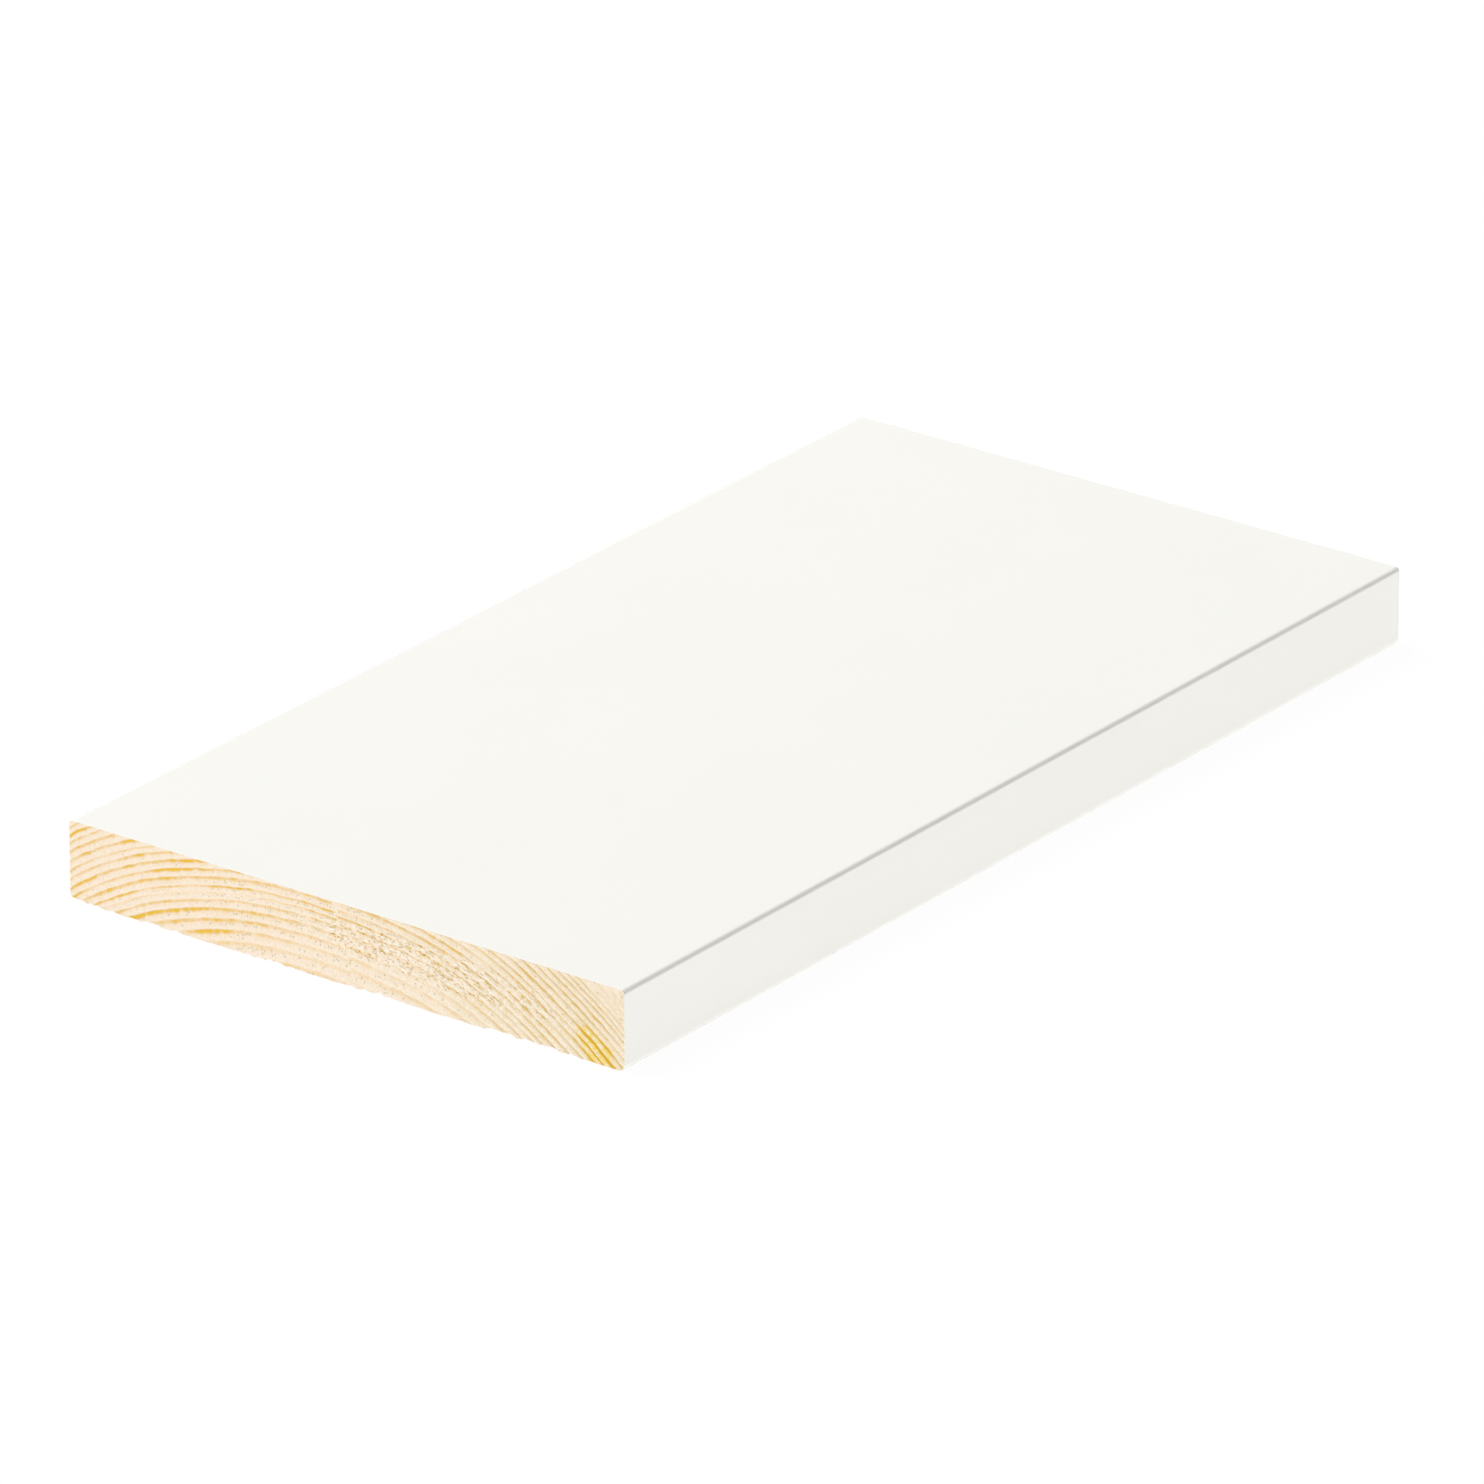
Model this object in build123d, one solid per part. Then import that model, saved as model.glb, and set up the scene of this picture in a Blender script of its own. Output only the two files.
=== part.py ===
from build123d import *

import os

# Window reveal trim: one planed pine board, painted white and cut off square at both ends.
# X runs along the board, Y across it and Z up through its thickness.
# The origin is the middle of the back, the face that goes against the framing.

# Driving dimensions, in millimetres
BOARD_LENGTH = 230.0
BOARD_WIDTH = 120.0
BOARD_THICKNESS = 15.0
FACE_ARRIS_RADIUS = 0.8  # the two painted arrises, along the edges of the face
BACK_ARRIS_RADIUS = 1.2  # the two bare arrises, along the edges of the back


def board_section():
    """The planed section: a rectangle standing on the back, with all four arrises eased.

    Sketched across the board, so the sketch's own Y runs through the thickness.
    """
    with BuildSketch(Plane.YZ) as section:
        Rectangle(BOARD_WIDTH, BOARD_THICKNESS, align=(Align.CENTER, Align.MIN))
        fillet(section.vertices().group_by(Axis.Y)[-1], FACE_ARRIS_RADIUS)
        fillet(section.vertices().group_by(Axis.Y)[0], BACK_ARRIS_RADIUS)
    return section.sketch


def reveal_board():
    """The section run out to both sides of the origin and left with two square saw cuts."""
    board = extrude(board_section(), BOARD_LENGTH / 2, both=True)
    board.label = "reveal_board"
    return board


os.makedirs("parts", exist_ok=True)
export_step(reveal_board(), "parts/reveal_board.step")
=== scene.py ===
"""Looks of a window reveal trim: a planed pine board with white paint on its face and edges.

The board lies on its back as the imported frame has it: X along it, Y across it and Z up.
Lengths are in metres, and a name that ends in _mm is in millimetres. The growth rings are one
solid pattern that runs through the wood, so the two sawn ends and the bare back agree.
"""

import logging
import math
from dataclasses import dataclass
from enum import Enum

import bpy
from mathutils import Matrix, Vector


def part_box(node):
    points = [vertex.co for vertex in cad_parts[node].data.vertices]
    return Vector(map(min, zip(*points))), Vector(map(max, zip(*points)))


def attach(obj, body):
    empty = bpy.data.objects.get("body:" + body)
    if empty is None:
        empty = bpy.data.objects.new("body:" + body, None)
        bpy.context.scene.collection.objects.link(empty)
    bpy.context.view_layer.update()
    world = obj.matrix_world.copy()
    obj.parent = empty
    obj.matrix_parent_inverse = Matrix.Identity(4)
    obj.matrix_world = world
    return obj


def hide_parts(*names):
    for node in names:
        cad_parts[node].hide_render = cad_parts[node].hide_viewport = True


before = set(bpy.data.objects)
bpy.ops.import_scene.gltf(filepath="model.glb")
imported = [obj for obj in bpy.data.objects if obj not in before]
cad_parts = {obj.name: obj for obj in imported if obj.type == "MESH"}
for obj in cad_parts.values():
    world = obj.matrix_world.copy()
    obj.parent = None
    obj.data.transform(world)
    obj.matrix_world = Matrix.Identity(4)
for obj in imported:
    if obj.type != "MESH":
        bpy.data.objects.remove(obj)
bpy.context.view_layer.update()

LOG = logging.getLogger("window_reveal_trim")
NODE = "reveal_board"
BODY = "root"
MM = 0.001
PHOTO_PIXELS = 1484
SENSOR_MM = 36.0
NOISE_MIDDLE = 0.5
WHITE = (1.0, 1.0, 1.0, 1.0)

Colour = tuple[float, float, float, float]
Span = tuple[float, float]
Material = bpy.types.Material
Socket = bpy.types.NodeSocket
Tree = bpy.types.NodeTree


def srgb(red: int, green: int, blue: int) -> Colour:
    """Turns a colour as a screen shows it into the linear colour that shaders take.

    Args:
        red: Red, from 0 to 255.
        green: Green, from 0 to 255.
        blue: Blue, from 0 to 255.

    Returns:
        The linear colour, with full alpha.
    """

    def linear(level: int) -> float:
        """Undoes the sRGB curve for one channel."""
        share = level / 255.0
        return share / 12.92 if share <= 0.04045 else ((share + 0.055) / 1.055) ** 2.4

    return (linear(red), linear(green), linear(blue), 1.0)


def towards(azimuth: float, elevation: float) -> Vector:
    """Gives the direction from the board to something that stands round it.

    Args:
        azimuth: Degrees round Z, where 0 is in front of the room edge, at -Y.
        elevation: Degrees above the horizon.

    Returns:
        The unit vector.
    """
    turn, rise = math.radians(azimuth), math.radians(elevation)
    return Vector((
        math.sin(turn) * math.cos(rise),
        -math.cos(turn) * math.cos(rise),
        math.sin(rise),
    ))


class TreeKind(Enum):
    """The kinds of node tree that this script builds."""

    SHADER = "ShaderNodeTree"
    GEOMETRY = "GeometryNodeTree"


class SocketKind(Enum):
    """The kinds of named input and output that its trees have."""

    GEOMETRY = "NodeSocketGeometry"
    VECTOR = "NodeSocketVector"
    VALUE = "NodeSocketFloat"
    COUNT = "NodeSocketInt"
    MATERIAL = "NodeSocketMaterial"


class Field:
    """A number that varies over a surface, written as arithmetic and made of Math nodes."""

    def __init__(self, graph: "Graph", socket: Socket) -> None:
        """Wraps an output socket of a graph's tree."""
        self.graph = graph
        self.socket = socket

    def math(self, operation: str, *others: "Field | float") -> "Field":
        """Adds a Math node with this field as its first value."""
        return self.graph.math(operation, self, *others)

    def __add__(self, other: "Field | float") -> "Field":
        """Adds a field or a number."""
        return self.math("ADD", other)

    __radd__ = __add__

    def __sub__(self, other: "Field | float") -> "Field":
        """Takes a field or a number away."""
        return self.math("SUBTRACT", other)

    def __rsub__(self, other: float) -> "Field":
        """Takes this field away from a number."""
        return self.graph.math("SUBTRACT", other, self)

    def __mul__(self, other: "Field | float") -> "Field":
        """Multiplies by a field or a number."""
        return self.math("MULTIPLY", other)

    __rmul__ = __mul__

    def __truediv__(self, other: "Field | float") -> "Field":
        """Divides by a field or a number."""
        return self.math("DIVIDE", other)

    def ramp(self, low: "Field | float", high: "Field | float", smooth: bool = True) -> "Field":
        """Rises from 0 to 1 while this field goes from one value to another.

        Args:
            low: Where the result is 0.
            high: Where the result is 1.
            smooth: Whether the rise eases in and out.

        Returns:
            The result, held between 0 and 1.
        """
        node = self.graph.node(
            "ShaderNodeMapRange",
            {"Value": self, "From Min": low, "From Max": high},
            interpolation_type="SMOOTHSTEP" if smooth else "LINEAR",
        )
        return Field(self.graph, node.outputs["Result"])


Source = Field | Socket | float | int | tuple | Vector


class Graph:
    """Adds nodes to one tree and links them."""

    def __init__(self, tree: Tree) -> None:
        """Takes the shader or geometry tree that the nodes go into."""
        self.tree = tree

    def feed(self, socket: Socket, source: Source) -> None:
        """Links a field or an output to an input, or sets the input to a fixed value.

        Args:
            socket: The input.
            source: What it takes.
        """
        if isinstance(source, Field):
            source = source.socket
        if isinstance(source, Socket):
            self.tree.links.new(source, socket)
        else:
            socket.default_value = source

    def node(
        self,
        kind: str,
        sockets: dict[str, Source] | None = None,
        **settings: str | bool,
    ) -> bpy.types.Node:
        """Adds a node.

        Args:
            kind: The node's type.
            sockets: What its inputs take, by their names.
            settings: The node's own properties.

        Returns:
            The node.
        """
        node = self.tree.nodes.new(kind)
        for name, value in settings.items():
            setattr(node, name, value)
        for name, source in (sockets or {}).items():
            self.feed(node.inputs[name], source)
        return node

    def work(
        self,
        kind: str,
        mesh: Socket,
        sockets: dict[str, Source] | None = None,
        **settings: str | bool,
    ) -> Socket:
        """Passes a mesh through a geometry node."""
        return self.node(kind, {"Geometry": mesh, **(sockets or {})}, **settings).outputs["Geometry"]

    def math(self, operation: str, *values: Field | float) -> Field:
        """Adds a Math node.

        Args:
            operation: The node's operation.
            values: Its one to three values.

        Returns:
            The node's result.
        """
        node = self.node("ShaderNodeMath", operation=operation)
        for socket, value in zip(node.inputs, values):
            self.feed(socket, value)
        return Field(self, node.outputs[0])

    def parts(self, vector: Socket) -> tuple[Field, ...]:
        """Splits a vector into its X, Y and Z."""
        node = self.node("ShaderNodeSeparateXYZ", {"Vector": vector})
        return tuple(Field(self, socket) for socket in node.outputs)

    def millimetres(self, place: Socket) -> tuple[Field, ...]:
        """Splits a place in metres into its X, Y and Z in millimetres."""
        return tuple(part / MM for part in self.parts(place))

    def vector(self, x: Source, y: Source, z: Source) -> Socket:
        """Joins three numbers into a vector."""
        return self.node("ShaderNodeCombineXYZ", {"X": x, "Y": y, "Z": z}).outputs["Vector"]

    def noise(self, place: Socket, layers: float) -> Field:
        """Adds soft noise about 0.5, with one wave to a unit of its place and finer layers."""
        node = self.node("ShaderNodeTexNoise", {"Vector": place, "Scale": 1.0, "Detail": layers})
        return Field(self, node.outputs["Fac"])

    def cells(self, across: Field, up: Field) -> tuple[Field, Field, Field]:
        """Adds scattered points, one to each square unit of a plane.

        Args:
            across: The first place in the plane.
            up: The second.

        Returns:
            The two places of the nearest point, and a number from 0 to 1 that it drew.
        """
        node = self.node(
            "ShaderNodeTexVoronoi",
            {"Vector": self.vector(across, up, 0.0), "Scale": 1.0},
            voronoi_dimensions="2D",
        )
        point = self.parts(node.outputs["Position"])
        return point[0], point[1], self.parts(node.outputs["Color"])[0]

    def curve(self, value: Field, points: list[Span], handle: str) -> Field:
        """Reads a curve through the given points.

        Args:
            value: Where it is read, from 0 to 1.
            points: The curve's points, with both of their values from 0 to 1.
            handle: The kind of handle that all the points have.

        Returns:
            The curve's height there.
        """
        node = self.node("ShaderNodeFloatCurve", {"Value": value})
        line = node.mapping.curves[0]
        line.points[0].location = points[0]
        line.points[-1].location = points[-1]
        for point in points[1:-1]:
            line.points.new(*point)
        for point in line.points:
            point.handle_type = handle
        node.mapping.update()
        return Field(self, node.outputs["Value"])

    def blend(self, share: Field, first: Source, second: Source) -> Socket:
        """Mixes two colours.

        Args:
            share: How much of the second colour there is.
            first: The colour at 0.
            second: The colour at 1.

        Returns:
            The output that holds the mixed colour.
        """
        node = self.node("ShaderNodeMix", data_type="RGBA")
        by_id = {socket.identifier: socket for socket in node.inputs}
        self.feed(by_id["Factor_Float"], share)
        self.feed(by_id["A_Color"], first)
        self.feed(by_id["B_Color"], second)
        return next(s for s in node.outputs if s.identifier == "Result_Color")

    def use(self, group: Tree, place: Socket) -> dict[str, Field]:
        """Places a node group that takes a Position.

        Args:
            group: The group's tree.
            place: The Position.

        Returns:
            The group's outputs, by their names.
        """
        kind = "GeometryNodeGroup" if self.tree.type == "GEOMETRY" else "ShaderNodeGroup"
        node = self.tree.nodes.new(kind)
        node.node_tree = group
        self.feed(node.inputs["Position"], place)
        return {socket.name: Field(self, socket) for socket in node.outputs}


@dataclass(frozen=True)
class Ripple:
    """Soft noise in the wood or on it.

    Attributes:
        waves: How many waves it has to a unit of each of the three places that it is read at.
        layers: How many finer layers it has.
        seed: How far along the third place it is read, so that ripples differ.
    """

    waves: tuple[float, float, float]
    layers: float = 2.0
    seed: float = 0.0

    def read(self, graph: Graph, *place: Field) -> Field:
        """Gives the noise at three places, about 0.5 on the whole."""
        first, second, third = (part * waves for part, waves in zip(place, self.waves))
        return graph.noise(graph.vector(first, second, third + self.seed), self.layers)

    def sway(self, graph: Graph, *place: Field) -> Field:
        """Gives the noise at three places, about 0 on the whole."""
        return self.read(graph, *place) - NOISE_MIDDLE


@dataclass(frozen=True)
class Year:
    """One year of the tree.

    Attributes:
        width_mm: How far the trunk grew.
        latewood: How strong the dark line is that ends the year, from 0 to 1.
    """

    width_mm: float
    latewood: float


@dataclass(frozen=True)
class HealedCrack:
    """An old crack that grew shut, across which the rings don't quite meet.

    Attributes:
        foot_mm: Where it crosses the back.
        lean: How far it leans across for each unit up.
        jump_mm: How far out the rings jump on its room side.
        reach_mm: How far to each side of it they take to do so.
        jags: The noise that makes it jagged.
        jags_mm: How far that moves it.
        paleness: How much the lines fade in it.
    """

    foot_mm: float = -2.25
    lean: float = 0.30
    jump_mm: float = 0.60
    reach_mm: float = 0.35
    jags: Ripple = Ripple((0.02, 0.2, 0.8), 1.0)
    jags_mm: float = 6.0
    paleness: float = 0.8

    def past(self, graph: Graph, along: Field, y: Field, z: Field) -> Field:
        """Rises from 0 on the crack's room side to 1 on its other side."""
        aside = y - self.foot_mm - z * self.lean + self.jags.sway(graph, along, y, z) * self.jags_mm
        return aside.ramp(-self.reach_mm, self.reach_mm)

    def kept(self, past: Field) -> Field:
        """Gives how much of a line is left, which is least where the rise is half way."""
        return 1.0 - 4.0 * self.paleness * past * (1.0 - past)


@dataclass(frozen=True)
class GrowthRings:
    """The solid pattern of growth rings, as the near end of the board shows them.

    Attributes:
        pith_mm: Where the middle of the trunk lies at the near end, across and up.
        pith_drift: How far it moves across and up for each unit along the board.
        core_mm: The radius at which the listed years begin.
        years: The years from there outwards.
        wander_mm: How far the rings leave true circles, as (across, outwards) pairs.
        slow: The slow unevenness of the rings.
        slow_mm: How far it moves them.
        quick: Their quick unevenness.
        quick_mm: How far it moves them.
        crack: The old crack in the wood.
        season: The parts of the year at which the dark line starts, is full, fades and has gone.
        early_start: How much earlier the strongest lines start.
        early_strength: The strengths between which lines go over to that.
        shade: How much of a line's darkness comes on slowly through the year before it.
        patches: The slow change of strength along a ring.
        patch_span: The values of that noise at which a line has gone and is full.
        spots: The quick change of strength along a ring.
        spot_levels: How strong a line is without that noise, and how much the noise adds.
        even_latewood: How strong the first, middle and last years are past the middle of the board,
            towards the room edge.
        even_years: The years between which the first go over to the middle ones, and those to
            the last.
        even_mm: The places across the board between which the lines go over to that.
    """

    pith_mm: tuple[float, float] = (7.2, -78.0)
    pith_drift: tuple[float, float] = (0.009, 0.014)
    core_mm: float = 72.4
    years: tuple[Year, ...] = (
        Year(2.3, 0.30), Year(2.3, 0.45), Year(2.6, 0.60), Year(2.3, 0.32), Year(2.1, 0.64),
        Year(2.0, 0.64), Year(1.9, 0.70), Year(1.5, 0.60), Year(1.3, 0.20), Year(1.2, 0.68),
        Year(1.7, 0.60), Year(1.4, 0.70), Year(1.6, 0.58), Year(1.5, 0.56), Year(1.2, 0.52),
        Year(1.6, 0.95), Year(1.5, 0.62), Year(1.3, 0.62), Year(1.3, 0.82), Year(1.2, 0.52),
        Year(1.0, 0.50), Year(1.1, 0.45), Year(1.2, 0.30), Year(1.1, 0.60), Year(1.3, 0.30),
        Year(1.3, 0.60), Year(1.2, 0.40), Year(1.2, 0.50), Year(1.3, 0.40), Year(1.3, 0.50),
    )
    wander_mm: tuple[Span, ...] = (
        (-60.0, 0.65), (-45.0, 0.70), (-33.0, 1.05), (-22.0, 0.85), (-13.0, 0.35), (-2.0, -0.25),
        (5.0, -0.40), (20.0, -0.15), (35.0, 0.00), (47.0, 0.15), (60.0, -0.40),
    )
    slow: Ripple = Ripple((0.012, 0.05, 0.05), 1.0)
    slow_mm: float = 0.5
    quick: Ripple = Ripple((0.03, 0.35, 0.35), 4.0)
    quick_mm: float = 0.55
    crack: HealedCrack = HealedCrack()
    season: tuple[float, float, float, float] = (0.42, 0.66, 0.76, 0.94)
    early_start: float = 0.14
    early_strength: Span = (0.55, 1.0)
    shade: float = 0.30
    patches: Ripple = Ripple((0.13, 3.7, 0.01))
    patch_span: Span = (0.1, 0.9)
    spots: Ripple = Ripple((0.8, 5.3, 0.02), 3.0)
    spot_levels: Span = (0.4, 3.2)
    even_latewood: tuple[float, float, float] = (0.28, 0.55, 0.20)
    even_years: tuple[float, float, float, float] = (4.0, 9.0, 20.5, 22.0)
    even_mm: Span = (6.0, 22.0)

    def group(self, kind: TreeKind, near_end: float) -> Tree:
        """Builds the pattern as a node group.

        Args:
            kind: Whether it is for shaders or for geometry.
            near_end: The near end's place along X.

        Returns:
            The group. It takes a Position and gives Latewood, which is 1 on the strongest lines,
            Hollow, which is 1 in the soft middle of each year, Age, which is the place across
            the rings in years, and Arc and Radius, the place along and across them in millimetres.
        """
        tree = bpy.data.node_groups.new(f"growth_rings_{kind.name.lower()}", kind.value)
        tree.interface.new_socket("Position", in_out="INPUT", socket_type=SocketKind.VECTOR.value)
        for name in ("Latewood", "Hollow", "Age", "Arc", "Radius"):
            tree.interface.new_socket(name, in_out="OUTPUT", socket_type=SocketKind.VALUE.value)
        graph = Graph(tree)
        x, y, z = graph.millimetres(graph.node("NodeGroupInput").outputs["Position"])
        along = x - near_end / MM
        across = y - self.pith_mm[0] - along * self.pith_drift[0]
        up = z - self.pith_mm[1] - along * self.pith_drift[1]
        past_crack = self.crack.past(graph, along, y, z)
        wander = self._wander(graph, y) + (1.0 - past_crack) * self.crack.jump_mm
        radius = (across * across + up * up).math("SQRT") - wander
        radius = radius + (
            self.slow.sway(graph, along, y, z) * self.slow_mm
            + self.quick.sway(graph, along, y, z) * self.quick_mm
        )
        arc = across.math("ARCTAN2", up) * self.core_mm
        age = self._age(graph, radius)
        phase = age.math("FRACT")
        strength = self._strength(graph, age.math("FLOOR"), arc, y, along) * self.crack.kept(past_crack)
        start, full, fade, end = self.season
        core = phase.ramp(start - self.early_start * strength.ramp(*self.early_strength), full)
        line = core * (1.0 - self.shade) + phase.ramp(0.0, full) * self.shade
        outputs = {
            "Latewood": line * (1.0 - phase.ramp(fade, end)) * strength,
            "Hollow": 0.5 - 0.5 * (phase * math.tau).math("COSINE"),
            "Age": age,
            "Arc": arc,
            "Radius": radius,
        }
        graph.node("NodeGroupOutput", outputs)
        return tree

    def _wander(self, graph: Graph, y: Field) -> Field:
        """Gives how far the rings leave true circles at each place across.

        Args:
            graph: The graph that it is worked out in.
            y: The place across the board, in millimetres.

        Returns:
            The distance outwards, in millimetres.
        """
        left, right = self.wander_mm[0][0], self.wander_mm[-1][0]
        width = right - left
        low = min(shift for _, shift in self.wander_mm)
        reach = max(shift for _, shift in self.wander_mm) - low
        points = [((at - left) / width, (shift - low) / reach) for at, shift in self.wander_mm]
        return graph.curve((y - left) / width, points, "AUTO") * reach + low

    def _age(self, graph: Graph, radius: Field) -> Field:
        """Counts the years out from the core.

        Args:
            graph: The graph that it is worked out in.
            radius: The distance from the pith, in millimetres.

        Returns:
            The number of years, whole at the end of each.
        """
        total, count = sum(year.width_mm for year in self.years), len(self.years)
        points, grown = [(0.0, 0.0)], 0.0
        for number, year in enumerate(self.years, start=1):
            grown += year.width_mm
            points.append((grown / total, number / count))
        return graph.curve((radius - self.core_mm) / total, points, "VECTOR") * float(count)

    def _strength(self, graph: Graph, year: Field, arc: Field, y: Field, along: Field) -> Field:
        """Gives how strong a year's dark line is, which changes along the ring.

        Args:
            graph: The graph that it is worked out in.
            year: The year's number.
            arc: The place along the ring, in millimetres.
            y: The place across the board, in millimetres.
            along: The place along it, in millimetres.

        Returns:
            The strength, from 0 to 1.
        """
        count = len(self.years)
        points = [((number + 0.5) / count, year.latewood) for number, year in enumerate(self.years)]
        usual = graph.curve((year + 0.5) / float(count), points, "VECTOR")
        patchy = self.patches.read(graph, arc, year, along).ramp(*self.patch_span, False)
        plain, spotted = self.spot_levels
        spotty = plain + spotted * self.spots.read(graph, arc, year, along)
        first, middle, last = self.even_latewood
        to_middle, to_last = year.ramp(*self.even_years[:2]), year.ramp(*self.even_years[2:])
        past_middle = first + (middle - first) * to_middle + (last - middle) * to_last
        level = usual + (past_middle - usual) * (1.0 - y.ramp(*self.even_mm))
        return (level * patchy * spotty).math("MINIMUM", 1.0)


def new_material(name: str) -> tuple[Material, Graph, bpy.types.Node, Socket]:
    """Starts a material with its Principled shader.

    Args:
        name: The material's name.

    Returns:
        The material, the graph of its nodes, the shader and the Object coordinates.
    """
    material = bpy.data.materials.new(name)
    material.use_nodes = True
    material.node_tree.nodes.clear()
    graph = Graph(material.node_tree)
    shader = graph.node("ShaderNodeBsdfPrincipled")
    graph.node("ShaderNodeOutputMaterial", {"Surface": shader.outputs["BSDF"]})
    place = graph.node("ShaderNodeTexCoord").outputs["Object"]
    return material, graph, shader, place


def add_relief(graph: Graph, shader: bpy.types.Node, height_mm: Field) -> None:
    """Gives a shader fine relief of the given height."""
    bump = graph.node("ShaderNodeBump", {"Height": height_mm, "Distance": MM, "Strength": 1.0})
    graph.feed(shader.inputs["Normal"], bump.outputs["Normal"])


@dataclass(frozen=True)
class SatinPaint:
    """White satin paint on planed wood, with a faint trace of the grain under it.

    Attributes:
        colour: The paint's colour.
        peel: The film's own fine unevenness.
        peel_mm: How deep that is.
        grain_mm: How far the hard lines of the wood show through the film.
        cloud: The wide soft patches in the film.
        cloud_span: The values of that noise at which a patch starts and is full.
        cloud_shade: How bright a patch is beside the rest.
        roughness: How rough the film is on the whole.
        rough_swing: How much the peel and the patches change that.
    """

    colour: Colour = srgb(245, 244, 238)
    peel: Ripple = Ripple((0.9, 0.9, 0.9), 3.0)
    peel_mm: float = 0.004
    grain_mm: float = 0.004
    cloud: Ripple = Ripple((0.03, 0.05, 0.05))
    cloud_span: Span = (0.35, 0.65)
    cloud_shade: float = 0.994
    roughness: float = 0.42
    rough_swing: Span = (0.10, 0.08)

    def build(self, rings: Tree) -> Material:
        """Builds the material.

        Args:
            rings: The growth rings' shader group.

        Returns:
            The material.
        """
        material, graph, shader, place = new_material("satin_white_paint")
        place_mm = graph.millimetres(place)
        wood = graph.use(rings, place)
        peel = self.peel.read(graph, *place_mm)
        cloud = self.cloud.read(graph, *place_mm)
        shade = tuple(level * self.cloud_shade for level in self.colour[:3]) + (1.0,)
        colour = graph.blend(cloud.ramp(*self.cloud_span), self.colour, shade)
        graph.feed(shader.inputs["Base Color"], colour)
        by_peel, by_cloud = self.rough_swing
        swing = (peel - NOISE_MIDDLE) * by_peel + (cloud - NOISE_MIDDLE) * by_cloud
        graph.feed(shader.inputs["Roughness"], self.roughness + swing)
        add_relief(graph, shader, peel * self.peel_mm + wood["Latewood"] * self.grain_mm)
        return material


@dataclass(frozen=True)
class ResinCanals:
    """The mouths of resin canals, which lie in rows along the rings.

    Attributes:
        pitch_mm: How far apart they could lie along a ring.
        drift: How many pitches they move along it for each millimetre along the board.
        year_mm: The width of a usual year.
        rows: How many rows of them a year has room for.
        rim_mm: The distances from a mouth's middle between which its rim fades out.
        season: The part of the year that they lie in.
        middle_mm: Where across the board they are thickest.
        reach_mm: The distances from there between which they get rare.
        crowd: The share of the places that have a canal where they are rare, and how much that
            grows where they are thickest.
        patch_span: The values of the wood's blotches between which they get thick.
    """

    pitch_mm: float = 0.5
    drift: float = 0.07
    year_mm: float = 1.4
    rows: float = 3.0
    rim_mm: Span = (0.05, 0.19)
    season: Span = (0.16, 0.62)
    middle_mm: float = 9.0
    reach_mm: Span = (10.0, 32.0)
    crowd: Span = (0.05, 0.36)
    patch_span: Span = (0.36, 0.56)

    def mask(self, wood: dict[str, Field], along: Field, y: Field, blotch: Field) -> Field:
        """Works out where the mouths are.

        Args:
            wood: The growth rings' outputs.
            along: The place along the board, in millimetres.
            y: The place across it.
            blotch: The noise of the wood's blotches.

        Returns:
            A mask that is 1 in a canal's mouth.
        """
        slot = wood["Arc"] / self.pitch_mm + along * self.drift
        row = wood["Age"] * self.rows
        middle, middle_row, drawn = slot.graph.cells(slot, row)
        aside = (slot - middle) * self.pitch_mm
        outwards = (row - middle_row) * (self.year_mm / self.rows)
        apart = (aside * aside + outwards * outwards).math("SQRT")
        time = (middle_row / self.rows).math("FRACT")
        early, late = self.season
        in_season = time.math("GREATER_THAN", early) * time.math("LESS_THAN", late)
        close = 1.0 - (y - self.middle_mm).math("ABSOLUTE").ramp(*self.reach_mm)
        rare, thick = self.crowd
        crowd = rare + thick * close * blotch.ramp(*self.patch_span)
        return (1.0 - apart.ramp(*self.rim_mm)) * in_season * drawn.math("LESS_THAN", crowd)


@dataclass(frozen=True)
class Patch:
    """A ragged oval patch of the near end.

    Attributes:
        middle_mm: Its middle, across the board and up from the back.
        reach_mm: How far it runs from there along itself and aside.
        tilt: How far it is turned up from lying across the board, in degrees.
        ragged: How uneven its rim is.
        rim: The shares of its reach between which it fades out.
    """

    middle_mm: Span
    reach_mm: Span
    tilt: float
    ragged: float = 0.9
    rim: Span = (0.55, 1.1)

    def mask(self, y: Field, z: Field, blotch: Field) -> Field:
        """Works out where the patch is.

        Args:
            y: The place across the board, in millimetres.
            z: The place up through it.
            blotch: The noise that makes the patch's rim uneven.

        Returns:
            A mask that is 1 well inside the patch.
        """
        turn = math.radians(self.tilt)
        across, up = y - self.middle_mm[0], z - self.middle_mm[1]
        along = (across * math.cos(turn) + up * math.sin(turn)) / self.reach_mm[0]
        aside = (up * math.cos(turn) - across * math.sin(turn)) / self.reach_mm[1]
        apart = (along * along + aside * aside).math("SQRT")
        return 1.0 - (apart + (blotch - NOISE_MIDDLE) * self.ragged).ramp(*self.rim)


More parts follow.
